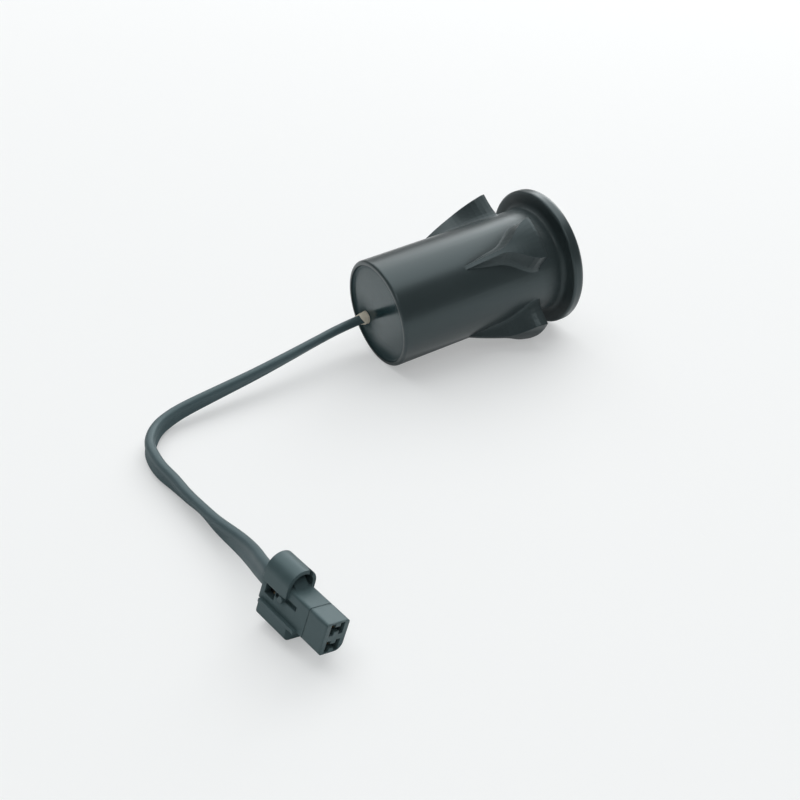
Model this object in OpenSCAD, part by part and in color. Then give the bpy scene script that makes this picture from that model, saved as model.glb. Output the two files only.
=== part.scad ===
// Ultrasonic bumper parking sensor, lying as it is left on a table.
// The barrel's axis runs along X, flange toward +X, cable leaving toward -X.
// The sensor rests on its rear rim and on the tips of its two lower barbs, so its nose is a little up.
// Z is up, the table is Z = 0, and the origin is under the middle of the sensor without its cable.

/* [Housing] */
// Outer diameter of the barrel
barrel_d = 20; // [18:0.5:24]
// Length from the rear rim to the back of the flange
barrel_len = 35; // [32:0.5:45]
// Thickness of the barrel's wall round the electronics
wall = 1.6; // [1.2:0.1:2]
// Rounding of the rear rim
rim_r = 0.5; // [0.3:0.1:0.6]
// Thickness of the wall at the rear rim, where the bore is wider
rim_wall = 0.8; // [0.7:0.1:1.2]
// Depth of the wider bore behind the rear rim
rim_depth = 1.3; // [1:0.1:2]
// Diameter of the flange that shows outside the bumper
flange_d = 26.2; // [25:0.1:32]
// Thickness of the flange
flange_t = 2.4; // [2.2:0.1:4]
// Rounding of the flange's front edge
flange_edge_r = 1; // [0.5:0.1:1.1]
// Rounding of the flange's back edge
flange_back_r = 0.5; // [0.3:0.1:1]
// Fillet between the barrel and the flange
neck_r = 1; // [0.3:0.1:1.2]
// Thickness of the housing's wall round the transducer
front_wall = 1.2; // [1:0.1:1.6]
// Thickness of the wall between the electronics and the transducer
bulkhead_t = 1.2; // [0.8:0.1:2]
// Hole in that wall for the transducer's leads
bulkhead_hole_d = 7; // [6.5:0.1:9]

/* [Snap barbs] */
// Free gap for the bumper skin, from the flange to the foot of the barbs
panel_gap = 5.2; // [3:0.1:7]
// Height of a barb above the barrel
barb_rise = 4.35; // [3.5:0.05:5.5]
// Length of a barb's ramp
barb_len = 13.8; // [12:0.1:17]
// How much the ramp bows outward, 0 for a straight ramp
barb_bow = 0.35; // [0:0.05:0.6]
// Width of a barb at its crest
barb_w = 8.1; // [6:0.1:9]
// Width of a barb's thin stem
barb_stem_w = 1; // [0.6:0.1:2]
// Length over which the stem widens to the head
barb_flare = 7; // [4:0.1:8]
// How far each hollow flank spreads at the foot of the head
barb_spread = 4.2; // [2:0.1:4.5]
// Length of the flat crest
barb_crest = 0.5; // [0.3:0.1:1]
// How far the foot of the front face stands ahead of the crest
barb_lean = 0.7; // [0.2:0.1:1.2]

/* [Transducer] */
// Depth of the cup
cup_len = 8.5; // [7:0.1:9.5]
// Side wall of the cup
cup_wall = 0.8; // [0.5:0.1:1.2]
// Thickness of the sounding face
diaphragm_t = 0.7; // [0.4:0.1:1]
// Rounding of the cup's front edge
cup_edge_r = 0.4; // [0.2:0.1:0.6]
// How far the face lies behind the flange's front
face_recess = 0.15; // [0.05:0.05:0.5]
// Radial thickness of the silicone ring round the cup
ring_t = 1.5; // [1:0.1:1.5]
// Depth of the silicone ring
ring_len = 6; // [4:0.1:7]
// Thickness of the soft cushion behind the cup
cushion_t = 1.8; // [1:0.1:2.5]
// Diameter of the ceramic disc
piezo_d = 7; // [6:0.1:9]
// Thickness of the ceramic disc
piezo_t = 0.4; // [0.2:0.1:0.8]
// Thickness of the damping pad behind the disc
pad_t = 2.5; // [1.5:0.1:4]
// Diameter of the thin leads to the disc
lead_d = 0.6; // [0.4:0.1:0.8]
// Distance between the two leads
lead_pitch = 4; // [3.2:0.1:4.4]
// How far the leads lie on the board
lead_lap = 2; // [1.6:0.1:2.4]

/* [Electronics] */
// How far the potting lies below the rear rim
potting_recess = 0.5; // [0.4:0.1:1]
// Radius of the potting's meniscus at the wall
meniscus_r = 0.4; // [0.2:0.1:0.4]
// Space between the board and the wall to the transducer
board_end_gap = 1.95; // [1.5:0.05:3]
// Length of the circuit board
board_len = 15; // [14:0.1:16]
// Width of the circuit board
board_w = 13.6; // [13:0.1:14]
// Thickness of the circuit board
board_t = 1; // [0.6:0.1:1.2]
// Space between the potting and the board
board_gap = 0.8; // [0.3:0.1:1.2]
// Thickness of the rails that carry the board
rail_t = 0.8; // [0.6:0.1:1]
// How far the rails reach under the board
rail_w = 1; // [0.8:0.1:1.5]
// Diameter of the transformer's ferrite drum
drum_d = 5.2; // [4.5:0.1:5.6]
// Height of the transformer's ferrite drum
drum_h = 3.9; // [3:0.1:5]
// Thickness of the drum's end plates
drum_plate_t = 0.8; // [0.6:0.1:1]
// Diameter of the drum's post
drum_post_d = 2.4; // [1.8:0.1:3]
// How far the winding lies inside the drum's edge
winding_inset = 0.3; // [0.1:0.1:0.6]

/* [Cable] */
// Width of the flat twin cable
cable_w = 3.2; // [2.8:0.1:3.4]
// Thickness of the flat twin cable
cable_t = 1.7; // [1.5:0.1:1.9]
// Cut of the cable's rounded corners
cable_corner = 0.5; // [0.4:0.05:0.6]
// Diameter of each insulated core
core_d = 1.2; // [1:0.1:1.3]
// Distance between the two cores
core_pitch = 1.5; // [1.4:0.1:1.6]
// How far the cores reach under the board
core_lap = 3; // [2.8:0.1:3.4]
// Space between the cable's exit and the barrel's bore
exit_inset = 0.4; // [0.3:0.1:0.8]
// How far below level the exit lies, seen along the axis
exit_ang = 31; // [25:1:35]
// Thickness of the sealant bead round the exit
bead_w = 0.5; // [0.4:0.05:0.7]
// Height of the sealant bead
bead_h = 0.5; // [0.3:0.1:0.6]

/* [Plug] */
// Length of the plug from its rear to the seam of the retainer
plug_len = 9.05; // [8.8:0.05:10.5]
// Length of the retainer that forms the nose
nose_len = 3.55; // [3.2:0.05:5]
// Width of the nose
nose_w = 3.7; // [3.4:0.05:4.2]
// Height of the nose
nose_h = 4.6; // [4.6:0.1:5.2]
// Rounding of the nose's edges
nose_r = 0.4; // [0.2:0.05:0.5]
// Larger rounding of the one edge that keys the nose
key_r = 1.1; // [0.6:0.1:1.1]
// Thickness of the nose's front wall
nose_wall = 0.8; // [0.5:0.1:1.2]
// Distance between the two contacts
contact_pitch = 2.5; // [2.4:0.05:2.6]
// Width and height of each contact's channel
channel = 1.6; // [1.5:0.05:1.7]
// Width of each opening in the nose
mouth_w = 2.2; // [1.8:0.1:2.2]
// Height of each opening in the nose
mouth_h = 1.65; // [1.4:0.05:1.7]
// Width of each bar of the openings in the nose
mouth_bar = 0.7; // [0.5:0.05:0.8]
// Sheet thickness of the contacts
contact_t = 0.2; // [0.15:0.05:0.25]
// How far the contacts' boxes reach behind the seam
contact_back = 3; // [2.6:0.1:3.4]
// Bare wire of each core in its crimp
strip_d = 0.65; // [0.5:0.05:0.75]
// How far the crimps stay inside the plug's rear
crimp_setback = 1.2; // [0.8:0.1:1.6]

/* [Plug latch] */
// Outer radius of the arched latch guard
hood_r = 2.25; // [2.1:0.05:2.6]
// Wall of the latch guard
hood_wall = 0.55; // [0.4:0.05:0.7]
// Length of the latch guard
hood_len = 4.75; // [4.4:0.05:5.2]
// Distance of the latch guard from the plug's rear
hood_setback = 0.25; // [0.1:0.05:0.6]
// Height of the straight sides of the latch guard
hood_lift = 0.2; // [0.1:0.05:0.4]
// How far the sides of the latch guard reach down over the plug
hood_skirt = 1.45; // [1.2:0.05:1.8]
// Width of the latch arm
latch_w = 2.2; // [1.8:0.1:2.4]
// Thickness of the latch arm
latch_t = 0.5; // [0.4:0.1:0.6]
// Length of the latch arm behind its root
latch_len = 4.4; // [4:0.1:4.6]
// Length of the ramp at the latch arm's root
latch_ramp = 1.8; // [1.6:0.1:2]
// Length of the notch in the latch guard's front corner
notch_len = 0.5; // [0.3:0.1:1.2]
// Width of the notch in the latch guard's front corner
notch_w = 0.6; // [0.4:0.1:1]

/* [Plug sides] */
// Width of the keel under the plug
keel_w = 4.5; // [4:0.1:5]
// Rounding of the keel's lower edges
keel_edge_r = 1; // [0.5:0.1:1.5]
// Depth of the keel below the nose
keel_drop = 2.1; // [1.8:0.1:2.4]
// Length of the keel
keel_len = 6; // [5:0.1:6.5]
// Distance of the keel from the plug's rear
keel_setback = 0.6; // [0.5:0.1:1.2]
// Thickness of the ledge above the keel
ledge_t = 0.5; // [0.4:0.05:0.7]
// How far the ledge stands out at each side
ledge_out = 0.45; // [0.3:0.05:0.7]
// Height of the ledge above the bottom of the nose
ledge_lift = 0.4; // [0.1:0.1:0.5]
// Length of the ledge
ledge_len = 7.4; // [6.5:0.1:8]
// Distance of the ledge from the plug's rear
ledge_setback = 0.5; // [0.3:0.1:0.8]
// Length of the window in the plug's side
window_len = 1.9; // [1.5:0.1:2.2]
// Height of the window in the plug's side
window_h = 1.7; // [1.4:0.1:1.8]
// Length of the slot in the plug's side
slot_len = 2.2; // [1.8:0.1:2.6]
// Height of the slot in the plug's side
slot_h = 0.7; // [0.5:0.1:0.9]
// Radius of the small peg between window and slot
boss_r = 0.45; // [0.3:0.05:0.5]
// Radius of the blind hole beside the peg
hole_r = 0.35; // [0.25:0.05:0.4]

/* [Fits] */
// Clearance of each pressed or bonded piece
fit_gap = 0.05; // [0.02:0.01:0.1]
// Clearance of the contacts in their channels
contact_gap = 0.1; // [0.05:0.01:0.15]
// Clearance of the sealant bead round the cable
bead_gap = 0.12; // [0.1:0.01:0.2]

/* [Hidden] */
$fn = 64;

// Steps in a quarter round of a turned profile, along a barb, over its crest and down its flank
ARC_STEPS = 6;
BARB_STEPS = 16;
CREST_STEPS = 4;
FLANK_STEPS = 7;
// How hollow a barb's flank is, 1 for a straight one
FLANK_POWER = 2.6;
// How deep a barb's foot is sunk into the barrel
BARB_SINK = 0.1;
// How far a cutting shape runs past the face that it cuts
cut = 1;

barrel_r = barrel_d / 2;
flange_r = flange_d / 2;
total_len = barrel_len + flange_t;
bore_r = barrel_r - wall;
rim_bore_r = barrel_r - rim_wall;

// Angle that an arc of some length takes up at the barbs' crest
function arc_ang(length) = length / barb_r * 180 / PI;

// Barbs: places along the axis, and the corner that touches the table
BARB_TURNS = [45, 135, 225, 315];
barb_r = barrel_r + barb_rise;
barb_root_r = barrel_r - wall / 2;
barb_foot_x = barrel_len - panel_gap;
barb_front_x = barb_foot_x - barb_lean;
barb_crest_x = barb_front_x - barb_crest;
barb_start_x = barb_crest_x - barb_len;
barb_flare_x = barb_crest_x - barb_flare;
barb_half_ang = arc_ang(barb_w / 2);
barb_low = barb_r * cos(BARB_TURNS[0] - barb_half_ang);

// Seat on the table: the rear rim's rounding and the lower barbs' corners are level
seat_drop = barb_low - barrel_r + rim_r;
seat_run = barb_crest_x - rim_r;
tilt = acos(rim_r / norm([seat_drop, seat_run])) - atan2(seat_run, seat_drop);
axis_h = (barrel_r - rim_r) * cos(tilt) - rim_r * sin(tilt) + rim_r;
rear_reach = (barrel_r - rim_r) * sin(tilt) + rim_r * (1 - cos(tilt));
edge_x = total_len - flange_edge_r;
edge_z = flange_r - flange_edge_r;
front_reach = edge_x * cos(tilt) + edge_z * sin(tilt) + flange_edge_r;
middle_x = (front_reach - rear_reach) / 2;

// Transducer stack, from the front backwards
front_bore_r = barrel_r - front_wall;
cup_r = front_bore_r - ring_t;
cup_bore_r = cup_r - cup_wall;
face_x = total_len - face_recess;
face_back_x = face_x - diaphragm_t;
cup_back_x = face_x - cup_len;
cushion_back_x = cup_back_x - cushion_t;
bulkhead_x = cushion_back_x - bulkhead_t;
piezo_x = face_back_x - piezo_t;
pad_x = piezo_x - pad_t;

// Cable exit in the rear face, and the board that the cores reach from below
exit_r = bore_r - exit_inset - cable_w / 2;
exit_dir = [0, cos(exit_ang), -sin(exit_ang)];
exit_pos = [potting_recess, 0, 0] + exit_r * exit_dir;
core_places = [exit_r + core_pitch / 2, exit_r - core_pitch / 2];
potting_r = bore_r - fit_gap;
potting_rim_r = rim_bore_r - fit_gap;
board_z = core_d / 2 + fit_gap - core_places[1] * sin(exit_ang);
board_top = board_z + board_t;
board_end = bulkhead_x - board_end_gap;
board_x = board_end - board_len;
potting_depth = board_x - board_gap;
core_end_x = board_x + core_lap;
rail_gap = 0.8;
rail_x = core_end_x + rail_gap;
lead_z = board_top + lead_d / 2 + fit_gap;
lead_x = board_end - lead_lap;

// Parts on the board, as places from its rear end and [length, width, height]
drum_x = board_x + 5.4;
chip_x = board_x + 10.6;
capacitor_x = board_x + 2.4;
resistor_x = board_x + 6.4;
resistor_pitch = 2.6;
row_y = board_w / 2 - 1.7;
CHIP = [3.9, 4.9, 1.5];
CHIP_FOOT = 0.15;
CHIP_LEG = [0.4, 0.9, 0.5];
CHIP_LEG_LAP = 0.1;
CHIP_LEG_PITCH = 0.95;
CHIP_LEGS = 4;
CAPACITOR = [2, 1.3, 1.2];
RESISTOR = [1.6, 0.8, 0.5];
RESISTORS = 3;

// Solder drops: radius, and distance from the end of the wire that each holds
lead_drop_r = lead_d / 2 + 0.5;
core_drop_r = core_d / 2 + 0.3;
lead_drop_x = lead_x + 0.6;
core_drop_x = core_end_x - 0.4;
core_drop_step = 1.65;

// Eight corners of the flat cable's section, along its width and its thickness
cable_half = [cable_w, cable_t] / 2;
cable_flat = cable_half - [cable_corner, cable_corner];
SECTION = [
    [cable_half[0], cable_flat[1]], [cable_flat[0], cable_half[1]],
    [-cable_flat[0], cable_half[1]], [-cable_half[0], cable_flat[1]],
    [-cable_half[0], -cable_flat[1]], [-cable_flat[0], -cable_half[1]],
    [cable_flat[0], -cable_half[1]], [cable_half[0], -cable_flat[1]]
];
SIDES = len(SECTION);

// Plug: the nose's front is x = 0, its rear is plug_back, and its top is nose_top
plug_back = -plug_len - nose_len;
seam_x = -nose_len;
nose_top = nose_h / 2;
nose_side = nose_w / 2;
hood_x = plug_back + hood_setback;
hood_z = nose_top + hood_lift;
keel_x = plug_back + keel_setback;
keel_side = keel_w / 2;
keel_low = -nose_top - keel_drop;
ledge_x = plug_back + ledge_setback;
ledge_z = ledge_lift - nose_top;
ledge_y = nose_side + ledge_out;

// Latch: root at the guard's mouth, arm under the guard, and the tooth on the arm
latch_root_x = hood_x + hood_len + 0.2;
latch_tail_x = latch_root_x - latch_len;
latch_knee_x = latch_root_x - latch_ramp;
latch_root_t = 0.2;
latch_tooth = [0.8, 0.4];

// Lowest corner of the guard's notch, across and up from the arch's centre
notch_low = [0.7, 0.6];

// Openings in the plug's side, from its rear, and how deep they go
window_x = plug_back + 0.8;
window_z = -0.05;
hole_x = plug_back + 3.15;
hole_z = 0.15;
slot_x = plug_back + 4.7;
slot_z = 0.6;
slot_depth = 0.4;
boss_x = plug_back + 4.2;
boss_z = 0.35;
boss_h = 0.5;

// Contacts, from the box at the front to the crimp on the core
contact_front = -nose_wall - contact_gap;
contact_box_x = seam_x - contact_back;
crimp_x = plug_back + crimp_setback;
contact_half = channel / 2 - contact_gap;
crimp_open = contact_half / 2;

// Where the plug lies: its turn, and the place of its nose on the table
PLUG_TURN = [-18, 5, -80];
PLUG_XY = [-62.1, -63.85];

// Height of a point of the plug over its own origin once it is turned
function turned_z(p) =
    cos(PLUG_TURN[1]) * (sin(PLUG_TURN[0]) * p[1] + cos(PLUG_TURN[0]) * p[2]) - sin(PLUG_TURN[1]) * p[0];

// What the plug can rest on, each with its rounding: keyed edge, keel and ledge
PLUG_FEET = [
    [[0, nose_side - key_r, key_r - nose_top], key_r],
    [[keel_x + keel_len, keel_side - keel_edge_r, keel_low + keel_edge_r], keel_edge_r],
    [[ledge_x + ledge_len, ledge_y, ledge_z - ledge_t], 0]
];
plug_z = max([for (f = PLUG_FEET) f[1] - turned_z(f[0])]);
plug_pos = [PLUG_XY[0], PLUG_XY[1], plug_z];

// The cable's way over the table, from the exit to the plug: place, and roll of its flat side
ROUTE = [
    [[-24, 4.9, 6.1], -56], [[-29.5, 3.8, 5.5], -52], [[-36, 2.5, 4.7], -46],
    [[-43, 1.3, 3.8], -38], [[-49.8, 0.2, 3.1], -30], [[-56, -0.9, 2.5], -20],
    [[-59.5, -1.9, 2.1], -12], [[-62.3, -3.6, 1.9], -5], [[-64.3, -6, 1.8], 0],
    [[-65.4, -9, 1.8], 0], [[-65.8, -12.4, 1.8], -6], [[-65.8, -15.8, 1.8], -12],
    [[-65.6, -19.8, 1.8], -2], [[-65.2, -23.8, 1.8], 10], [[-64.7, -27.8, 1.9], 8],
    [[-63.9, -33.6, 2.2], -25], [[-63.5, -39.7, 2.9], -38], [[-63.8, -43.75, 3.7], -32],
    [[-64.15, -47.45, 4.5], -22]
];

// Placing

// Sets the sensor down on the table, nose a little up
module seated() {
    translate([-middle_x, 0, axis_h]) rotate([0, -tilt, 0]) children();
}

// Places a shape at the cable's exit, its y along the exit's radius
module at_exit() {
    translate(exit_pos) rotate([-exit_ang, 0, 0]) children();
}

// Lays the plug on the table at the end of the cable
module plugged() {
    translate(plug_pos) rotate(PLUG_TURN) children();
}

// The same placings for single points and directions
function turn_x(p, a) = [p[0], p[1] * cos(a) - p[2] * sin(a), p[1] * sin(a) + p[2] * cos(a)];
function turn_y(p, a) = [p[0] * cos(a) + p[2] * sin(a), p[1], p[2] * cos(a) - p[0] * sin(a)];
function turn_z(p, a) = [p[0] * cos(a) - p[1] * sin(a), p[0] * sin(a) + p[1] * cos(a), p[2]];
function seat_dir(p) = turn_y(p, -tilt);
function seat_point(p) = seat_dir(p) + [-middle_x, 0, axis_h];
function plug_dir(p) = turn_z(turn_y(turn_x(p, PLUG_TURN[0]), PLUG_TURN[1]), PLUG_TURN[2]);
function plug_point(p) = plug_dir(p) + plug_pos;
function unit(v) = v / norm(v);

// Shapes used more than once

// Quarter round about a centre, from one angle to another
function arc(c, r, from, to) =
    [for (i = [0:ARC_STEPS]) let (a = from + (to - from) * i / ARC_STEPS) c + r * [cos(a), sin(a)]];

// Turns a [radius, x] outline about the barrel's axis
module turned(outline) {
    rotate([0, 90, 0]) rotate_extrude() polygon(outline);
}

// Round bar along the axis
module bar(x0, x1, r, y = 0, z = 0) {
    translate([x0, y, z]) rotate([0, 90, 0]) cylinder(h = x1 - x0, r = r);
}

// Block from its lowest corner to its highest
module block(low, high) {
    translate(low) cube(high - low);
}

// Outline with round ends, long way along x
module stadium(w, t) {
    square([w - t, t], center = true);
    for (s = [-1, 1]) translate([s * (w - t) / 2, 0]) circle(d = t);
}

// Extrudes a [y, z] outline along x
module along(x0, x1) {
    translate([x0, 0, 0]) rotate([90, 0, 90]) linear_extrude(x1 - x0) children();
}

// Sensor

// Turned outside of the barrel and flange
module shell_form() {
    turned(concat(
        [[0, 0]],
        arc([barrel_r - rim_r, rim_r], rim_r, -90, 0),
        arc([barrel_r + neck_r, barrel_len - neck_r], neck_r, 180, 90),
        arc([flange_r - flange_back_r, barrel_len + flange_back_r], flange_back_r, -90, 0),
        arc([edge_z, edge_x], flange_edge_r, 0, 90),
        [[0, total_len]]
    ));
}

// Half of a barb's section, from the middle of its crest down one flank: [arc across, share of the height]
function barb_half(flat, spread) = concat(
    [for (i = [1:CREST_STEPS]) [flat * i / CREST_STEPS, 1]],
    [for (i = [1:FLANK_STEPS]) let (t = i / FLANK_STEPS) [flat + spread * t, pow(1 - t, FLANK_POWER)]]
);

// One ring of a barb: over the crest from flank to flank, then back inside the barrel's wall
function barb_ring(x, flat, spread, height) =
    let (half = barb_half(flat, spread), last = len(half) - 1)
    let (left = [for (i = [last:-1:0]) [-half[i][0], half[i][1]]])
    let (outer = [for (p = concat(left, [[0, 1]], half)) [arc_ang(p[0]), barrel_r - BARB_SINK + p[1] * height]])
    let (side = arc_ang(flat + spread))
    [for (p = concat(outer, [[side, barb_root_r], [-side, barb_root_r]]))
        [x, p[1] * sin(p[0]), p[1] * cos(p[0])]];

// One barb, lofted from its thin stem over the bowed ramp to its flared head and leaning front
module barb() {
    low = BARB_SINK / 2;
    full = barb_rise + BARB_SINK;
    wide = barb_w / 2;
    ramp = [for (i = [0:BARB_STEPS])
        let (v = i / BARB_STEPS, x = barb_start_x + v * barb_len)
        let (u = max(0, (x - barb_flare_x) / barb_flare), grown = (1 - cos(180 * u)) / 2)
        let (height = low + (full - low) * v * (1 + barb_bow * (1 - v)))
        barb_ring(x, (barb_stem_w + grown * (barb_w - barb_stem_w)) / 2, barb_spread * height / full, height)];
    front = [
        barb_ring(barb_front_x, wide, barb_spread, full),
        barb_ring(barb_foot_x, wide, barb_spread, low)
    ];
    rings = concat(ramp, front);
    count = len(rings[0]);
    last = len(rings) - 1;
    sides = [for (i = [0:last - 1], k = [0:count - 1]) each
        let (a = i * count + k, b = i * count + (k + 1) % count)
        [[a, b, a + count], [b, b + count, a + count]]];
    caps = [[for (k = [count - 1:-1:0]) k], [for (k = [0:count - 1]) last * count + k]];
    polyhedron([for (r = rings) each r], concat(sides, caps));
}

// Two rails inside the barrel that carry the board
module rails() {
    rail_in = board_w / 2 - rail_w;
    intersection() {
        bar(rail_x, bulkhead_x + bulkhead_t / 2, barb_root_r);
        for (s = [0, 1]) mirror([0, s, 0])
            block([rail_x, rail_in, board_z - rail_t], [cushion_back_x, barrel_r, board_z]);
    }
}

module housing() {
    color("#17191b") seated() {
        difference() {
            union() {
                shell_form();
                for (a = BARB_TURNS) rotate([a, 0, 0]) barb();
            }
            bar(-cut, rim_depth, rim_bore_r);
            bar(-cut, bulkhead_x, bore_r);
            bar(bulkhead_x - cut, cushion_back_x + cut, bulkhead_hole_d / 2);
            bar(cushion_back_x, total_len + cut, front_bore_r);
        }
        rails();
    }
}

module transducer_cup() {
    color("#202224") seated() turned(concat(
        [[0, face_x]],
        arc([cup_r - cup_edge_r, face_x - cup_edge_r], cup_edge_r, 90, 0),
        [[cup_r, cup_back_x], [cup_bore_r, cup_back_x], [cup_bore_r, face_back_x], [0, face_back_x]]
    ));
}

module isolation_ring() {
    color("#2b2d2e") seated() difference() {
        bar(face_x - ring_len, face_x, front_bore_r - fit_gap);
        bar(face_x - ring_len - cut, face_x + cut, cup_r + fit_gap);
    }
}

module rear_cushion() {
    color("#5a5c5a") seated() difference() {
        bar(cushion_back_x, cup_back_x, front_bore_r - fit_gap);
        bar(cushion_back_x - cut, cup_back_x + cut, bulkhead_hole_d / 2);
    }
}

module piezo_disc() {
    color("#c9b98c") seated() bar(piezo_x, face_back_x, piezo_d / 2);
}

// Room for both leads, from one x to another
module lead_ways(x0, x1) {
    for (s = [-1, 1]) bar(x0, x1, lead_d / 2 + fit_gap, s * lead_pitch / 2, lead_z);
}

module damping_pad() {
    color("#8c7a5c") seated() difference() {
        bar(pad_x, piezo_x, cup_bore_r - fit_gap);
        lead_ways(pad_x - cut, piezo_x + cut);
    }
}

// One thin lead from the board to the back of the ceramic disc
module piezo_lead(s) {
    seated() bar(lead_x, piezo_x, lead_d / 2, s * lead_pitch / 2, lead_z);
}

module piezo_lead_left() {
    color("#b0302a") piezo_lead(1);
}

module piezo_lead_right() {
    color("#2a2a2a") piezo_lead(-1);
}

module circuit_board() {
    color("#1f5a34") seated()
        block([board_x, -board_w / 2, board_z], [board_end, board_w / 2, board_top]);
}

module transformer_core() {
    color("#3c3d40") seated() translate([drum_x, 0, board_top]) {
        cylinder(h = drum_plate_t, d = drum_d);
        cylinder(h = drum_h, d = drum_post_d);
        translate([0, 0, drum_h - drum_plate_t]) cylinder(h = drum_plate_t, d = drum_d);
    }
}

module transformer_winding() {
    winding_h = drum_h - 2 * drum_plate_t - 2 * fit_gap;
    color("#a8622c") seated() translate([drum_x, 0, board_top + drum_plate_t + fit_gap]) difference() {
        cylinder(h = winding_h, d = drum_d - 2 * winding_inset);
        translate([0, 0, -cut]) cylinder(h = winding_h + 2 * cut, d = drum_post_d + 2 * fit_gap);
    }
}

module driver_chip() {
    leg_y = (CHIP[1] + CHIP_LEG[1]) / 2 - CHIP_LEG_LAP;
    color("#242426") seated() translate([chip_x, 0, board_top]) {
        block([-CHIP[0] / 2, -CHIP[1] / 2, CHIP_FOOT], [CHIP[0] / 2, CHIP[1] / 2, CHIP[2]]);
        for (i = [0:CHIP_LEGS - 1], s = [-1, 1])
            translate([(i - (CHIP_LEGS - 1) / 2) * CHIP_LEG_PITCH, s * leg_y, CHIP_LEG[2] / 2])
                cube(CHIP_LEG, center = true);
    }
}

module capacitors() {
    color("#b09468") seated() for (s = [-1, 1])
        translate([capacitor_x, s * row_y, board_top + CAPACITOR[2] / 2]) cube(CAPACITOR, center = true);
}

module resistors() {
    color("#1d1d20") seated() for (i = [0:RESISTORS - 1])
        translate([resistor_x + i * resistor_pitch, row_y, board_top + RESISTOR[2] / 2])
            cube(RESISTOR, center = true);
}

// Room for both cores, from one x to another
module core_ways(x0, x1) {
    for (c = core_places)
        bar(x0, x1, core_d / 2 + fit_gap, c * cos(exit_ang), -c * sin(exit_ang));
}

// Solder that holds the leads on top of the board and the cores under it
module solder_joints() {
    color("#b8bcc0") seated() difference() {
        intersection() {
            for (s = [-1, 1]) translate([lead_drop_x, s * lead_pitch / 2, board_top]) sphere(lead_drop_r);
            block([board_x, -barrel_r, board_top], [board_end, barrel_r, barrel_r]);
        }
        lead_ways(board_x, piezo_x);
    }
    color("#b8bcc0") seated() difference() {
        intersection() {
            for (i = [0, 1])
                translate([core_drop_x - i * core_drop_step, core_places[i] * cos(exit_ang), board_z])
                    sphere(core_drop_r);
            block([board_x, -barrel_r, -barrel_r], [board_end, barrel_r, board_z]);
        }
        core_ways(0, board_end);
    }
}

// Outline of the sealant bead
module bead_outline() {
    stadium(cable_w + 2 * bead_w, cable_t + 2 * bead_w);
}

// Cast epoxy that closes the rear, drawn up into a meniscus at the wall
module potting() {
    color("#101416") seated() difference() {
        turned(concat(
            [[0, potting_recess]],
            arc([potting_rim_r - meniscus_r, potting_recess - meniscus_r], meniscus_r, 90, 0),
            [[potting_rim_r, rim_depth - fit_gap], [potting_r, rim_depth - fit_gap]],
            [[potting_r, potting_depth], [0, potting_depth]]
        ));
        core_ways(0, potting_depth + cut);
        at_exit() along(-bead_h - cut, 0) bead_outline();
    }
}

// Bead of sealant where the cable leaves the potting, trimmed by the wall
module exit_sealant() {
    color("#b7a98c") seated() intersection() {
        at_exit() along(-bead_h, 0) difference() {
            bead_outline();
            offset(delta = bead_gap) polygon(SECTION);
        }
        bar(-cut, potting_depth, potting_rim_r);
    }
}

// One insulated core from the cable's end, through the potting, to the board
module sensor_core(place) {
    seated() bar(potting_recess, core_end_x, core_d / 2, place * cos(exit_ang), -place * sin(exit_ang));
}

module sensor_core_outer() {
    color("#d8d8d4") sensor_core(core_places[0]);
}

module sensor_core_inner() {
    color("#303234") sensor_core(core_places[1]);
}

// Cable

// One ring of the cable: centre, direction and roll about it
function ring(c, dir, roll) =
    let (side = unit(cross(dir, [0, 0, 1])), up = cross(side, dir))
    let (wide = cos(roll) * up + sin(roll) * side, thick = cross(dir, wide))
    [for (p = SECTION) c + p[0] * wide + p[1] * thick];

module cable() {
    exit_point = seat_point(exit_pos);
    plug_end = plug_point([plug_back, 0, 0]);
    places = concat([exit_point], [for (r = ROUTE) r[0]], [plug_end]);
    rolls = concat([exit_ang - 90], [for (r = ROUTE) r[1]], [PLUG_TURN[0]]);
    last = len(places) - 1;
    dirs = [for (i = [0:last])
        i == 0 ? seat_dir([-1, 0, 0]) :
        i == last ? plug_dir([1, 0, 0]) :
        unit(places[i + 1] - places[i - 1])];
    points = [for (i = [0:last]) each ring(places[i], dirs[i], rolls[i])];
    sides = [for (i = [0:last - 1], k = [0:SIDES - 1]) each
        let (a = i * SIDES + k, b = i * SIDES + (k + 1) % SIDES)
        [[a, a + SIDES, b], [b, a + SIDES, b + SIDES]]];
    caps = [
        [for (k = [0:SIDES - 1]) k],
        [for (k = [SIDES - 1:-1:0]) last * SIDES + k]
    ];
    color("#4a5356") polyhedron(points, concat(sides, caps));
}

// Plug

// Outline of the nose: three small roundings and the keyed one
module nose_outline() {
    y = nose_side - nose_r;
    z = nose_top - nose_r;
    polygon(concat(
        arc([y, z], nose_r, 0, 90),
        arc([-y, z], nose_r, 90, 180),
        arc([-y, -z], nose_r, 180, 270),
        arc([nose_side - key_r, key_r - nose_top], key_r, -90, 0)
    ));
}

// Outline of the keel under the ledge
module keel_outline() {
    y = keel_side - keel_edge_r;
    z = keel_low + keel_edge_r;
    polygon(concat(
        [[keel_side, ledge_z], [-keel_side, ledge_z]],
        arc([-y, z], keel_edge_r, 180, 270),
        arc([y, z], keel_edge_r, 270, 360)
    ));
}

// Arch over the latch, with straight sides that reach down over the plug
module hood_outline() {
    inner_r = hood_r - hood_wall;
    skirt_z = nose_top - hood_skirt;
    difference() {
        union() {
            translate([0, hood_z]) circle(hood_r);
            translate([-hood_r, skirt_z]) square([2 * hood_r, hood_z - skirt_z]);
        }
        translate([0, hood_z]) circle(inner_r);
        translate([-inner_r, nose_top]) square([2 * inner_r, hood_lift]);
        translate([-hood_r, skirt_z - hood_r]) square([2 * hood_r, hood_r]);
    }
}

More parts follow.
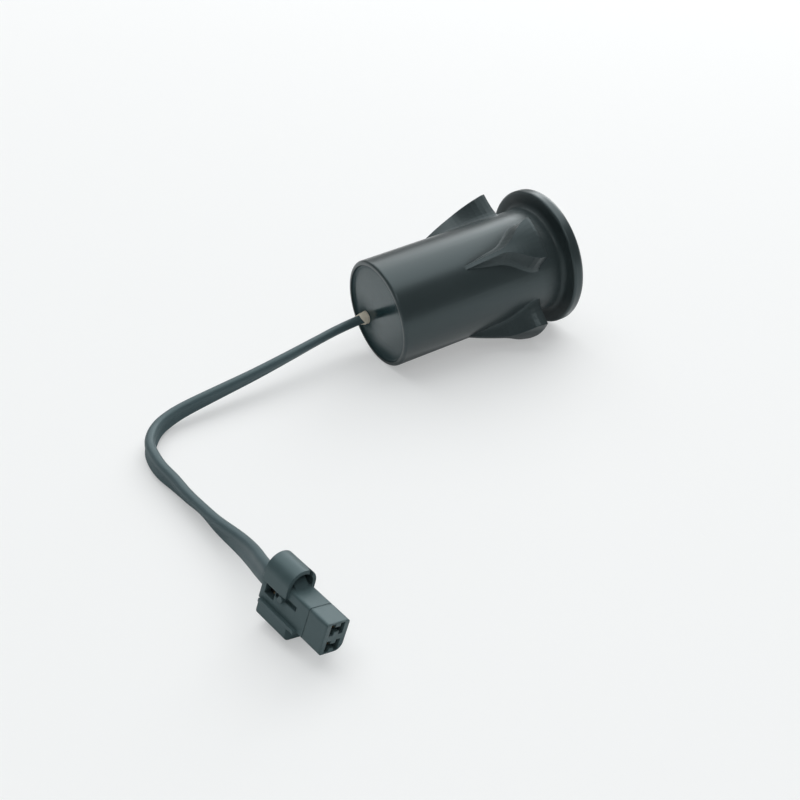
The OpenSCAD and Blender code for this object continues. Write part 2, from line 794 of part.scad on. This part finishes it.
// Springy arm: a ramp at the guard's mouth, the free arm under the guard, and its tooth
module latch() {
    translate([0, latch_w / 2, 0]) rotate([90, 0, 0]) linear_extrude(latch_w) polygon([
        [latch_root_x, nose_top - latch_root_t], [latch_root_x, nose_top],
        [latch_knee_x + latch_tooth[0], hood_z + latch_t], [latch_knee_x, hood_z + latch_t + latch_tooth[1]],
        [latch_knee_x, hood_z + latch_t], [latch_tail_x, hood_z + latch_t], [latch_tail_x, hood_z],
        [latch_knee_x + latch_tooth[0], hood_z], [latch_root_x - latch_t, nose_top - latch_root_t]
    ]);
}

// Room for both contacts, from one x to another
module channels(x0, x1) {
    half = channel / 2;
    for (s = [-1, 1]) translate([0, 0, s * contact_pitch / 2])
        block([x0, -half, -half], [x1, half, half]);
}

module plug_housing() {
    color("#2c3032") plugged() {
        difference() {
            union() {
                along(plug_back, seam_x) nose_outline();
                along(keel_x, keel_x + keel_len) keel_outline();
                difference() {
                    along(hood_x, hood_x + hood_len) hood_outline();
                    block([hood_x + hood_len - notch_len, notch_low[0], hood_z + notch_low[1]],
                        [hood_x + hood_len + cut, notch_low[0] + notch_w, hood_z + hood_r + cut]);
                }
                block([ledge_x, -ledge_y, ledge_z - ledge_t], [ledge_x + ledge_len, ledge_y, ledge_z]);
                latch();
            }
            channels(plug_back - cut, seam_x + cut);
            translate([window_x, -hood_r - cut, window_z - window_h / 2])
                cube([window_len, hood_r + cut, window_h]);
            translate([slot_x, -hood_r - cut, slot_z - slot_h / 2])
                cube([slot_len, hood_r + cut - nose_side + slot_depth, slot_h]);
            translate([hole_x, slot_depth - nose_side, hole_z]) rotate([90, 0, 0])
                cylinder(h = hood_r + cut, r = hole_r);
        }
        translate([boss_x, slot_depth - nose_side, boss_z]) rotate([90, 0, 0])
            cylinder(h = boss_h + slot_depth, r = boss_r);
    }
}

// Opening in the nose: two bars joined by a cross bar
module mouth() {
    for (s = [-1, 1]) translate([s * (mouth_w - mouth_bar) / 2, 0]) square([mouth_bar, mouth_h], center = true);
    square([mouth_w, mouth_bar], center = true);
}

module plug_retainer() {
    color("#303436") plugged() difference() {
        along(seam_x + fit_gap, 0) nose_outline();
        channels(seam_x - cut, -nose_wall);
        for (s = [-1, 1]) translate([0, 0, s * contact_pitch / 2]) along(-nose_wall - cut, cut) mouth();
    }
}

// Folded sheet receptacle with a crimp barrel that is open at the top
module contact(s) {
    inner = contact_half - contact_t;
    color("#b9a35a") plugged() translate([0, 0, s * contact_pitch / 2]) {
        difference() {
            block([contact_box_x, -contact_half, -contact_half], [contact_front, contact_half, contact_half]);
            block([contact_box_x - cut, -inner, -inner], [contact_front + cut, inner, inner]);
        }
        difference() {
            bar(crimp_x, contact_box_x + contact_t, contact_half);
            bar(crimp_x - cut, contact_box_x + cut, inner);
            block([crimp_x - cut, -channel, crimp_open], [contact_box_x + cut, channel, channel]);
        }
    }
}

module contact_upper() {
    contact(1);
}

module contact_lower() {
    contact(-1);
}

// One insulated core from the cable's end, and its bare wire in the crimp
module plug_core(s) {
    core_front_x = crimp_x - contact_gap;
    plugged() {
        bar(plug_back, core_front_x, core_d / 2, 0, s * contact_pitch / 2);
        bar(core_front_x, contact_box_x + contact_t, strip_d / 2, 0, s * contact_pitch / 2);
    }
}

module plug_core_upper() {
    color("#d8d8d4") plug_core(1);
}

module plug_core_lower() {
    color("#303234") plug_core(-1);
}

housing();
transducer_cup();
isolation_ring();
rear_cushion();
piezo_disc();
damping_pad();
piezo_lead_left();
piezo_lead_right();
circuit_board();
transformer_core();
transformer_winding();
driver_chip();
capacitors();
resistors();
solder_joints();
potting();
exit_sealant();
sensor_core_outer();
sensor_core_inner();
cable();
plug_housing();
plug_retainer();
contact_upper();
contact_lower();
plug_core_upper();
plug_core_lower();
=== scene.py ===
import math

import bpy
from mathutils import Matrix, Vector


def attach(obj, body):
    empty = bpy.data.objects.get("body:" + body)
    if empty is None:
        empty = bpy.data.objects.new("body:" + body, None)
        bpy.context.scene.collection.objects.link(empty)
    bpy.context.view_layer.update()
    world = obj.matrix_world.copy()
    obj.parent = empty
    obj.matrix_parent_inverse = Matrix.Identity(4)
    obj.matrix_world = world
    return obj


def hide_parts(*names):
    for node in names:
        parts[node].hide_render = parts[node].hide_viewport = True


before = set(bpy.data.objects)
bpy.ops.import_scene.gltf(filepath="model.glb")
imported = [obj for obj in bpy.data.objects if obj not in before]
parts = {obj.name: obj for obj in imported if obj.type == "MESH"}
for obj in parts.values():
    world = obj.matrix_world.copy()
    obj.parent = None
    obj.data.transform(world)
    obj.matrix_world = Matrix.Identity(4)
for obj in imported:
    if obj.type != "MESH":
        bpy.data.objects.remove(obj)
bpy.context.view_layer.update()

# Table, light and camera
# A pale table top under one very large soft box, high up and a little behind, with a panel at the
# side and a small one in front, in a dim room that fills the shadows. None of it belongs to the sensor.
MM = 0.001
TABLE_HALF = 1.2
TABLE_WHITE = (0.9, 0.905, 0.905, 1)
TABLE_ROUGH = 0.85
TABLE_GLOW = 0.42
ROOM_TINT = (0.86, 0.97, 1.0, 1)
ROOM_LIGHT = 0.2
WALL_SEEN = 0.3
LAMPS_AIM = (0, 0, 0.01)
LAMPS = [
    # name, place, side of its square, power
    ("soft_box", (0.35, 0.5, 1.25), 2.2, 25.0),
    ("side_panel", (1.04, 0.72, 0.6), 0.9, 5.5),
    ("front_panel", (-0.35, -0.75, 1.0), 0.5, 1.8),
]
LENS_MM = 48.9
SENSOR_MM = 36.0
LENS_NEAR = 0.01
CAMERA_AT = (-106.95 * MM, -152.7 * MM, 97.0 * MM)
CAMERA_TURN = (math.radians(59.2), 0, math.radians(-31.4))


def new_piece(name, points, faces):
    """Object in the scene with a mesh of its own."""
    mesh = bpy.data.meshes.new(name)
    mesh.from_pydata(points, [], faces)
    piece = bpy.data.objects.new(name, mesh)
    bpy.context.scene.collection.objects.link(piece)
    return piece


def backdrop_share(tree, most):
    """How much of a backdrop's own look shows to the lens, in gloss and through glass. The light that
    falls on the object has none of it."""
    ray = tree.nodes.new("ShaderNodeLightPath")
    shown = ray.outputs["Is Camera Ray"]
    for kind in ("Is Glossy Ray", "Is Transmission Ray"):
        either = tree.nodes.new("ShaderNodeMath")
        either.operation = "MAXIMUM"
        tree.links.new(shown, either.inputs[0])
        tree.links.new(ray.outputs[kind], either.inputs[1])
        shown = either.outputs[0]
    part = tree.nodes.new("ShaderNodeMath")
    part.operation = "MULTIPLY"
    part.inputs[1].default_value = most
    tree.links.new(shown, part.inputs[0])
    return part.outputs[0]


table_corners = [(x * TABLE_HALF, y * TABLE_HALF, 0) for x, y in ((-1, -1), (1, -1), (1, 1), (-1, 1))]
table = new_piece("table_top", table_corners, [(0, 1, 2, 3)])
table_paint = bpy.data.materials.new("table_paint")
table_paint.use_nodes = True
tree = table_paint.node_tree
paint = tree.nodes["Principled BSDF"]
paint.inputs["Base Color"].default_value = TABLE_WHITE
paint.inputs["Roughness"].default_value = TABLE_ROUGH
glow = tree.nodes.new("ShaderNodeEmission")
glow.inputs["Color"].default_value = TABLE_WHITE
blend = tree.nodes.new("ShaderNodeMixShader")
tree.links.new(backdrop_share(tree, TABLE_GLOW), blend.inputs[0])
tree.links.new(paint.outputs[0], blend.inputs[1])
tree.links.new(glow.outputs[0], blend.inputs[2])
tree.links.new(blend.outputs[0], tree.nodes["Material Output"].inputs["Surface"])
table.data.materials.append(table_paint)

room = bpy.data.worlds.new("dim_room")
room.use_nodes = True
tree = room.node_tree
room_air = tree.nodes["Background"]
room_air.inputs["Color"].default_value = ROOM_TINT
room_air.inputs["Strength"].default_value = ROOM_LIGHT
wall = tree.nodes.new("ShaderNodeBackground")
wall.inputs["Color"].default_value = TABLE_WHITE
wall.inputs["Strength"].default_value = WALL_SEEN
blend = tree.nodes.new("ShaderNodeMixShader")
tree.links.new(backdrop_share(tree, 1), blend.inputs[0])
tree.links.new(room_air.outputs[0], blend.inputs[1])
tree.links.new(wall.outputs[0], blend.inputs[2])
tree.links.new(blend.outputs[0], tree.nodes["World Output"].inputs["Surface"])
bpy.context.scene.world = room

for name, place, side, power in LAMPS:
    lamp = bpy.data.lights.new(name, "AREA")
    lamp.shape = "RECTANGLE"
    lamp.size = side
    lamp.size_y = side
    lamp.energy = power
    stand = bpy.data.objects.new(name, lamp)
    stand.location = place
    stand.rotation_euler = (Vector(LAMPS_AIM) - Vector(place)).to_track_quat("-Z", "Y").to_euler()
    bpy.context.scene.collection.objects.link(stand)

lens = bpy.data.cameras.new("camera")
lens.lens = LENS_MM
lens.sensor_width = SENSOR_MM
lens.clip_start = LENS_NEAR
camera = bpy.data.objects.new("camera", lens)
camera.location = CAMERA_AT
camera.rotation_euler = CAMERA_TURN
bpy.context.scene.collection.objects.link(camera)
bpy.context.scene.camera = camera
bpy.context.scene.view_settings.view_transform = "Standard"

# Housing
# One black injection moulding: barrel, flange and four snap barbs, in a hard satin plastic.
# The tool leaves a very fine grain, and handling leaves faint patches of shine.
NUMBER = "NodeSocketFloat"
COLOUR = "NodeSocketColor"
PATCH_DETAIL = 3
GRAIN_DETAIL = 2
CORNER_SAMPLES = 8
CORNER_OPEN, CORNER_CLOSED = 0.96, 0.74
CORNER_ROUGH = 0.85
CORNER_REACH_MM = 5.0
PLASTIC_IOR = 1.58
PLAIN_SHEEN = (1, 1, 1, 1)
TEAL_SHEEN = (0.74, 0.95, 1.0, 1)


def new_group(name, inputs, outputs):
    """Empty shader group with its named sockets, and the two nodes at its ends."""
    group = bpy.data.node_groups.new(name, "ShaderNodeTree")
    for socket, kind in inputs:
        group.interface.new_socket(socket, in_out="INPUT", socket_type=kind)
    for socket, kind in outputs:
        group.interface.new_socket(socket, in_out="OUTPUT", socket_type=kind)
    return group, group.nodes.new("NodeGroupInput"), group.nodes.new("NodeGroupOutput")


def noise(tree, coordinate, scale, detail):
    """Noise in the object's own metres, with its scale from a socket."""
    texture = tree.nodes.new("ShaderNodeTexNoise")
    texture.inputs["Detail"].default_value = detail
    tree.links.new(coordinate, texture.inputs["Vector"])
    tree.links.new(scale, texture.inputs["Scale"])
    return texture.outputs["Fac"]


def between(tree, kind, factor, low, high):
    """Mix of two sockets by a factor."""
    mix = tree.nodes.new("ShaderNodeMix")
    mix.data_type = kind
    value = {"FLOAT": "VALUE", "RGBA": "RGBA"}[kind]
    low_slot, high_slot = [s for s in mix.inputs if s.type == value and s.name in ("A", "B")]
    tree.links.new(factor, mix.inputs["Factor"])
    tree.links.new(low, low_slot)
    tree.links.new(high, high_slot)
    return [s for s in mix.outputs if s.type == value][0]


# Moulded surface: slow patches change its colour and shine, inner corners stay dull because the
# tool is not polished there, and a fine grain lifts it
surface, ends_in, ends_out = new_group(
    "moulded_surface",
    [("Dark", COLOUR), ("Light", COLOUR), ("Smooth", NUMBER), ("Dull", NUMBER), ("Corner", NUMBER),
     ("Corner Reach", NUMBER), ("Patches", NUMBER), ("Grain", NUMBER)],
    [("Color", COLOUR), ("Roughness", NUMBER), ("Height", NUMBER)])
given = ends_in.outputs
where = surface.nodes.new("ShaderNodeTexCoord").outputs["Object"]
patch = noise(surface, where, given["Patches"], PATCH_DETAIL)
grain = noise(surface, where, given["Grain"], GRAIN_DETAIL)
open_air = surface.nodes.new("ShaderNodeAmbientOcclusion")
open_air.samples = CORNER_SAMPLES
surface.links.new(given["Corner Reach"], open_air.inputs["Distance"])
corner = surface.nodes.new("ShaderNodeMapRange")
corner.inputs["From Min"].default_value = CORNER_OPEN
corner.inputs["From Max"].default_value = CORNER_CLOSED
surface.links.new(open_air.outputs["AO"], corner.inputs["Value"])
tone = between(surface, "RGBA", patch, given["Dark"], given["Light"])
shine = between(surface, "FLOAT", patch, given["Smooth"], given["Dull"])
shine = between(surface, "FLOAT", corner.outputs["Result"], shine, given["Corner"])
surface.links.new(tone, ends_out.inputs["Color"])
surface.links.new(shine, ends_out.inputs["Roughness"])
surface.links.new(grain, ends_out.inputs["Height"])


def moulded(name, dark, light, smooth, dull, patch_mm, grain_mm, lift_mm,
            metal=0.0, edge_mm=0.1, sheen=PLAIN_SHEEN, gloss=0.0):
    """Material of a moulded, cast or drawn piece: two colours, two roughnesses, the sizes of its patches
    and grain, the grain's height, and where it has them its metal, rounded edges, tint and gloss."""
    material = bpy.data.materials.new(name)
    material.use_nodes = True
    tree = material.node_tree
    shader = tree.nodes["Principled BSDF"]
    shader.inputs["Metallic"].default_value = metal
    shader.inputs["IOR"].default_value = PLASTIC_IOR
    shader.inputs["Specular Tint"].default_value = sheen
    shader.inputs["Coat Weight"].default_value = gloss
    shader.inputs["Coat Roughness"].default_value = smooth
    look = tree.nodes.new("ShaderNodeGroup")
    look.node_tree = surface
    for socket, value in (("Dark", (*dark, 1)), ("Light", (*light, 1)), ("Smooth", smooth), ("Dull", dull),
                          ("Corner", CORNER_ROUGH), ("Corner Reach", CORNER_REACH_MM * MM),
                          ("Patches", 1 / (patch_mm * MM)), ("Grain", 1 / (grain_mm * MM))):
        look.inputs[socket].default_value = value
    edges = tree.nodes.new("ShaderNodeBevel")
    edges.inputs["Radius"].default_value = edge_mm * MM
    bump = tree.nodes.new("ShaderNodeBump")
    bump.inputs["Distance"].default_value = lift_mm * MM
    tree.links.new(edges.outputs["Normal"], bump.inputs["Normal"])
    tree.links.new(look.outputs["Color"], shader.inputs["Base Color"])
    tree.links.new(look.outputs["Roughness"], shader.inputs["Roughness"])
    tree.links.new(look.outputs["Height"], bump.inputs["Height"])
    tree.links.new(bump.outputs["Normal"], shader.inputs["Normal"])
    return material


def dress(material, *names):
    """Gives CAD pieces their finish."""
    for name in names:
        parts[name].data.materials.clear()
        parts[name].data.materials.append(material)


dress(moulded("housing_black", (0.012, 0.019, 0.02), (0.019, 0.027, 0.028), 0.28, 0.38, 6, 0.25, 0.004,
              edge_mm=0.2, sheen=TEAL_SHEEN, gloss=0.25), "housing")

# Transducer
# A deep-drawn aluminium cup, painted black, that is held in a soft silicone ring and on a cushion.
# A ceramic disc and a damping pad are bonded inside it, and two thin leads run back to the board.
dress(moulded("cup_paint", (0.012, 0.018, 0.019), (0.019, 0.026, 0.027), 0.25, 0.4, 5, 0.2, 0.003,
              sheen=TEAL_SHEEN), "transducer_cup")
dress(moulded("silicone", (0.017, 0.024, 0.025), (0.03, 0.039, 0.04), 0.55, 0.7, 3, 0.3, 0.01,
              sheen=TEAL_SHEEN), "isolation_ring", "rear_cushion")
dress(moulded("fired_ceramic", (0.5, 0.42, 0.24), (0.62, 0.55, 0.34), 0.4, 0.55, 2, 0.1, 0.004), "piezo_disc")
dress(moulded("damping_foam", (0.2, 0.14, 0.08), (0.32, 0.24, 0.14), 0.8, 0.95, 1.2, 0.35, 0.06),
      "damping_pad")
dress(moulded("red_lead", (0.36, 0.03, 0.02), (0.5, 0.05, 0.03), 0.4, 0.55, 2, 0.2, 0.004), "piezo_lead_left")
dress(moulded("black_lead", (0.015, 0.015, 0.016), (0.03, 0.03, 0.032), 0.4, 0.55, 2, 0.2, 0.004),
      "piezo_lead_right")

# Electronics
# A small green board on two rails in the barrel, with a drum transformer, a driver chip and a few
# chip parts soldered on, all closed in by the potting.
dress(moulded("board_coat", (0.012, 0.09, 0.03), (0.025, 0.15, 0.05), 0.3, 0.45, 1.5, 0.25, 0.01),
      "circuit_board")
dress(moulded("ferrite", (0.03, 0.03, 0.033), (0.07, 0.07, 0.075), 0.5, 0.7, 0.8, 0.15, 0.01),
      "transformer_core")
dress(moulded("copper_winding", (0.4, 0.12, 0.04), (0.6, 0.24, 0.1), 0.25, 0.4, 0.5, 0.12, 0.03, metal=1.0),
      "transformer_winding")
dress(moulded("chip_package", (0.014, 0.014, 0.015), (0.03, 0.03, 0.032), 0.5, 0.65, 1, 0.1, 0.005),
      "driver_chip", "resistors")
dress(moulded("capacitor_body", (0.32, 0.22, 0.1), (0.46, 0.34, 0.18), 0.45, 0.6, 0.6, 0.1, 0.005),
      "capacitors")
dress(moulded("solder", (0.5, 0.51, 0.53), (0.68, 0.69, 0.7), 0.18, 0.34, 0.5, 0.2, 0.01, metal=1.0),
      "solder_joints")

# Potting
# Black epoxy cast into the open rear of the barrel. It sets to a glossy face that draws up a little
# at the wall.
dress(moulded("cast_epoxy", (0.008, 0.024, 0.027), (0.014, 0.032, 0.035), 0.1, 0.18, 4, 2.5, 0.02,
              sheen=TEAL_SHEEN), "potting")

# Cable
# A short flat cable with two cores side by side in one dark grey-green jacket, extruded smooth.
# It leaves the potting, droops to the table, turns a wide corner and ends in the plug.
CABLE_W, CABLE_T = 3.2, 1.7
CABLE_DIP = 0.09
FLAT_HALF = (CABLE_W - CABLE_T) / 2
SECTION_POINTS = 32
STEPS_PER_SPAN = 6
BARREL_TILT = math.radians(5.2244)
PLUG_PITCH, PLUG_HEADING = math.radians(5), math.radians(-80)
CABLE_ROUTE = [
    # x, y, z in mm and the roll of the flat side in degrees, from the potting to the plug
    (-17.944, 5.486, 6.678, -59),
    (-24, 4.9, 6.1, -56), (-29.5, 3.8, 5.5, -52), (-36, 2.5, 4.7, -46),
    (-43, 1.3, 3.8, -38), (-49.8, 0.2, 3.1, -30), (-56, -0.9, 2.5, -20),
    (-59.5, -1.9, 2.1, -12), (-62.3, -3.6, 1.9, -5), (-64.3, -6, 1.8, 0),
    (-65.65, -8.85, 1.8, -6), (-66.15, -12.2, 1.8, -12), (-66.15, -15.6, 1.8, -8),
    (-65.6, -19.8, 1.8, 6), (-65.2, -23.8, 1.8, 22), (-64.7, -27.8, 1.9, 30),
    (-64.35, -33.3, 2.2, 12), (-63.75, -39.55, 2.9, -16), (-63.8, -43.75, 3.7, -26),
    (-64.15, -47.45, 4.5, -22),
    (-64.28, -51.489, 5.181, -18),
]
START_WAY = Vector((-math.cos(BARREL_TILT), 0, -math.sin(BARREL_TILT)))
END_WAY = Vector((math.cos(PLUG_PITCH) * math.cos(PLUG_HEADING),
                  math.cos(PLUG_PITCH) * math.sin(PLUG_HEADING), -math.sin(PLUG_PITCH)))
knots = [Vector((x, y, z)) for x, y, z, roll in CABLE_ROUTE]
rolls = [roll for x, y, z, roll in CABLE_ROUTE]
last = len(knots) - 1


def knot_way(i):
    """How the cable runs at a knot: out of the potting, into the plug, or between its neighbours."""
    if i == 0:
        return START_WAY * (knots[1] - knots[0]).length
    if i == last:
        return END_WAY * (knots[last] - knots[last - 1]).length
    return (knots[i + 1] - knots[i - 1]) / 2


def knot_twist(i):
    """How fast the flat side turns at a knot, so that the twist runs on evenly."""
    return 0 if i in (0, last) else (rolls[i + 1] - rolls[i - 1]) / 2


def smooth_step(t, a, leave, b, arrive):
    """Value at t on a smooth run from a to b that leaves and arrives at the given rates."""
    return ((2 * t**3 - 3 * t**2 + 1) * a + (t**3 - 2 * t**2 + t) * leave
            + (3 * t**2 - 2 * t**3) * b + (t**3 - t**2) * arrive)


def smooth_rate(t, a, leave, b, arrive):
    """How fast that run changes at t."""
    return ((6 * t**2 - 6 * t) * a + (3 * t**2 - 4 * t + 1) * leave
            + (6 * t - 6 * t**2) * b + (3 * t**2 - 2 * t) * arrive)


def flat_section():
    """Outline of the jacket, across and through, with a shallow dip between the two cores."""
    outline = []
    for k in range(SECTION_POINTS):
        turn = 2 * math.pi * k / SECTION_POINTS
        across = math.cos(turn) * CABLE_W / 2
        if abs(across) > FLAT_HALF:
            over = abs(across) - FLAT_HALF
            through = math.sqrt(max(0, (CABLE_T / 2) ** 2 - over ** 2))
        else:
            through = CABLE_T / 2 - CABLE_DIP * (1 + math.cos(math.pi * across / FLAT_HALF)) / 2
        outline.append((across, math.copysign(through, math.sin(turn)) if through else 0))
    return outline


def section_axes(way, roll):
    """Directions across and through the jacket where it runs some way with some roll in degrees."""
    side = way.cross(Vector((0, 0, 1))).normalized()
    wide = math.cos(math.radians(roll)) * side.cross(way) + math.sin(math.radians(roll)) * side
    return wide, way.cross(wide)


jacket = flat_section()
centres, points = [], []
for i in range(last):
    run = (knots[i], knot_way(i), knots[i + 1], knot_way(i + 1))
    twist = (rolls[i], knot_twist(i), rolls[i + 1], knot_twist(i + 1))
    for step in range(STEPS_PER_SPAN + (i == last - 1)):
        t = step / STEPS_PER_SPAN
        centre = smooth_step(t, *run)
        wide, thick = section_axes(smooth_rate(t, *run).normalized(), smooth_step(t, *twist))
        centres.append(centre * MM)
        points += [(centre + across * wide + through * thick) * MM for across, through in jacket]
faces = [(i * SECTION_POINTS + k, i * SECTION_POINTS + (k + 1) % SECTION_POINTS,
          (i + 1) * SECTION_POINTS + (k + 1) % SECTION_POINTS, (i + 1) * SECTION_POINTS + k)
         for i in range(len(centres) - 1) for k in range(SECTION_POINTS)]
faces.append(tuple(reversed(range(SECTION_POINTS))))
faces.append(tuple(range(len(points) - SECTION_POINTS, len(points))))
cable = new_piece("flat_cable", points, faces)
cable.data.polygons.foreach_set("use_smooth", [len(face) == 4 for face in faces])
cable.data.materials.append(
    moulded("cable_jacket", (0.042, 0.07, 0.077), (0.065, 0.095, 0.103), 0.4, 0.54, 5, 0.3, 0.006,
            sheen=TEAL_SHEEN))
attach(cable, "root")
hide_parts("cable")

# Exit bead
# Pale sealant worked round the cable where it leaves the potting. It is thick and uneven at its foot
# and thins out along the jacket.
BEAD_FOOT, BEAD_RISE = 0.38, 1.25
BEAD_PROFILE = [
    # share of the foot, share of the rise
    (1, -0.04), (0.96, 0.12), (0.74, 0.42), (0.42, 0.74), (0.14, 0.96), (-0.1, 1), (-0.2, 0.5), (-0.2, -0.04),
]
FOOT_WAVES = [(0.16, 2, 0.6), (0.1, 5, 2)]
RISE_WAVES = [(0.3, 1, 0.4), (0.14, 3, 1.3)]


def uneven(size, waves, turn):
    """Size of the bead at some turn round the cable, with waves of a share, a count and a shift."""
    return size * (1 + sum(share * math.sin(count * turn + shift) for share, count, shift in waves))


bead_wide, bead_thick = section_axes(START_WAY, rolls[0])
points = []
for k, (across, through) in enumerate(jacket):
    turn = 2 * math.pi * k / SECTION_POINTS
    flat = max(-FLAT_HALF, min(FLAT_HALF, across))
    out = Vector((across - flat, through)).normalized()
    foot, rise = uneven(BEAD_FOOT, FOOT_WAVES, turn), uneven(BEAD_RISE, RISE_WAVES, turn)
    for off, up in BEAD_PROFILE:
        points.append((knots[0] + (across + out.x * off * foot) * bead_wide
                       + (through + out.y * off * foot) * bead_thick + up * rise * START_WAY) * MM)
loops = len(BEAD_PROFILE)
faces = [(k * loops + j, ((k + 1) % SECTION_POINTS) * loops + j,
          ((k + 1) % SECTION_POINTS) * loops + (j + 1) % loops, k * loops + (j + 1) % loops)
         for k in range(SECTION_POINTS) for j in range(loops)]
bead = new_piece("exit_bead", points, faces)
bead.data.polygons.foreach_set("use_smooth", [True] * len(faces))
bead.data.materials.append(
    moulded("pale_sealant", (0.54, 0.48, 0.38), (0.74, 0.68, 0.56), 0.35, 0.55, 0.8, 0.5, 0.08))
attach(bead, "root")
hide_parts("exit_sealant")

# Plug
# A small two-way plug in matte dark grey plastic: a body with an arched guard over its latch, and
# a retainer that clips on the front and forms the nose.
PLUG_DARK, PLUG_LIGHT = (0.039, 0.065, 0.069), (0.057, 0.088, 0.093)
dress(moulded("plug_grey", PLUG_DARK, PLUG_LIGHT, 0.38, 0.5, 3, 0.2, 0.006,
              edge_mm=0.2, sheen=TEAL_SHEEN), "plug_housing")
dress(moulded("retainer_grey", PLUG_DARK, PLUG_LIGHT, 0.36, 0.48, 3, 0.2, 0.006,
              edge_mm=0.35, sheen=TEAL_SHEEN), "plug_retainer")

# Contacts and cores
# Two receptacles folded from tinned brass sheet, each crimped on the end of one insulated core.
# The other ends of the two cores are soldered to the board in the barrel.
dress(moulded("tinned_brass", (0.5, 0.42, 0.26), (0.66, 0.6, 0.46), 0.22, 0.38, 0.8, 0.15, 0.004, metal=1.0),
      "contact_upper", "contact_lower")
dress(moulded("white_core", (0.55, 0.55, 0.5), (0.66, 0.66, 0.62), 0.4, 0.55, 1, 0.2, 0.004),
      "plug_core_upper", "sensor_core_outer")
dress(moulded("dark_core", (0.016, 0.016, 0.018), (0.03, 0.03, 0.033), 0.4, 0.55, 1, 0.2, 0.004),
      "plug_core_lower", "sensor_core_inner")
